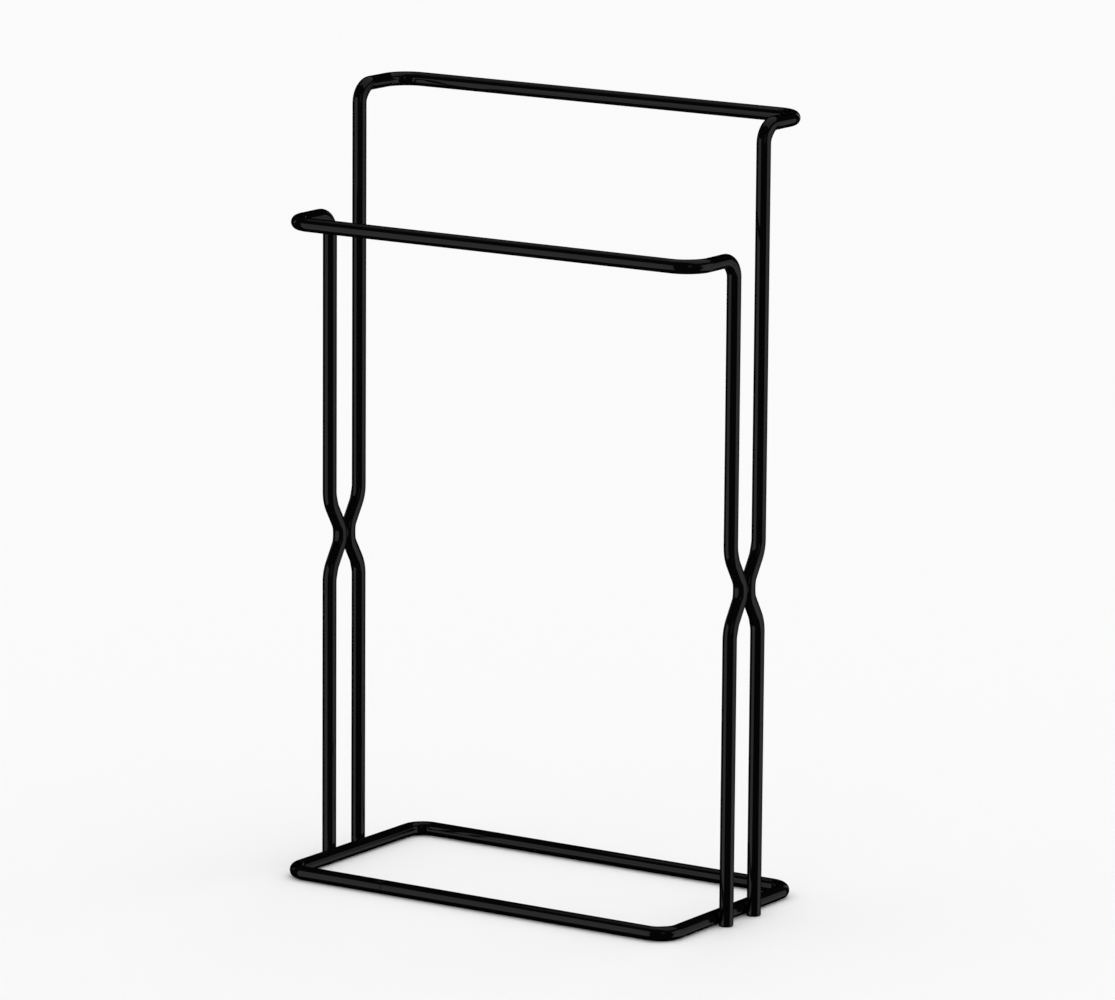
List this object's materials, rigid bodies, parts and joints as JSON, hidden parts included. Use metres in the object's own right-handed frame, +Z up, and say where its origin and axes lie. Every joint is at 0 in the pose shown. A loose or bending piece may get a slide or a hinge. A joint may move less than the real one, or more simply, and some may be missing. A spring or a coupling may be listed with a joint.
{
  "type": "countertop towel stand",
  "caption": "Free-standing wire stand with a low front bar and a taller rear bar on bowed, welded uprights over a flat rectangular base ring, for hanging small towels on a countertop.",
  "frame": {"origin": "on the table, under the middle of the base ring", "axes": "+X to the right along the bars, +Y to the back towards the taller bar, +Z up"},
  "size_m": [0.2178, 0.1076, 0.352],
  "materials": {
    "wire_paint": "gloss black paint on steel wire",
    "weld_paint": "gloss black paint on weld metal"
  },
  "bodies": {
    "root": {"base_ring": "wire_paint", "front_hoop": "wire_paint", "rear_hoop": "wire_paint", "base_butt_weld": "weld_paint", "waist_weld_left": "weld_paint", "waist_weld_right": "weld_paint", "foot_weld_front_left": "weld_paint", "foot_weld_front_right": "weld_paint", "foot_weld_rear_left": "weld_paint", "foot_weld_rear_right": "weld_paint"}
  },
  "joints": []
}
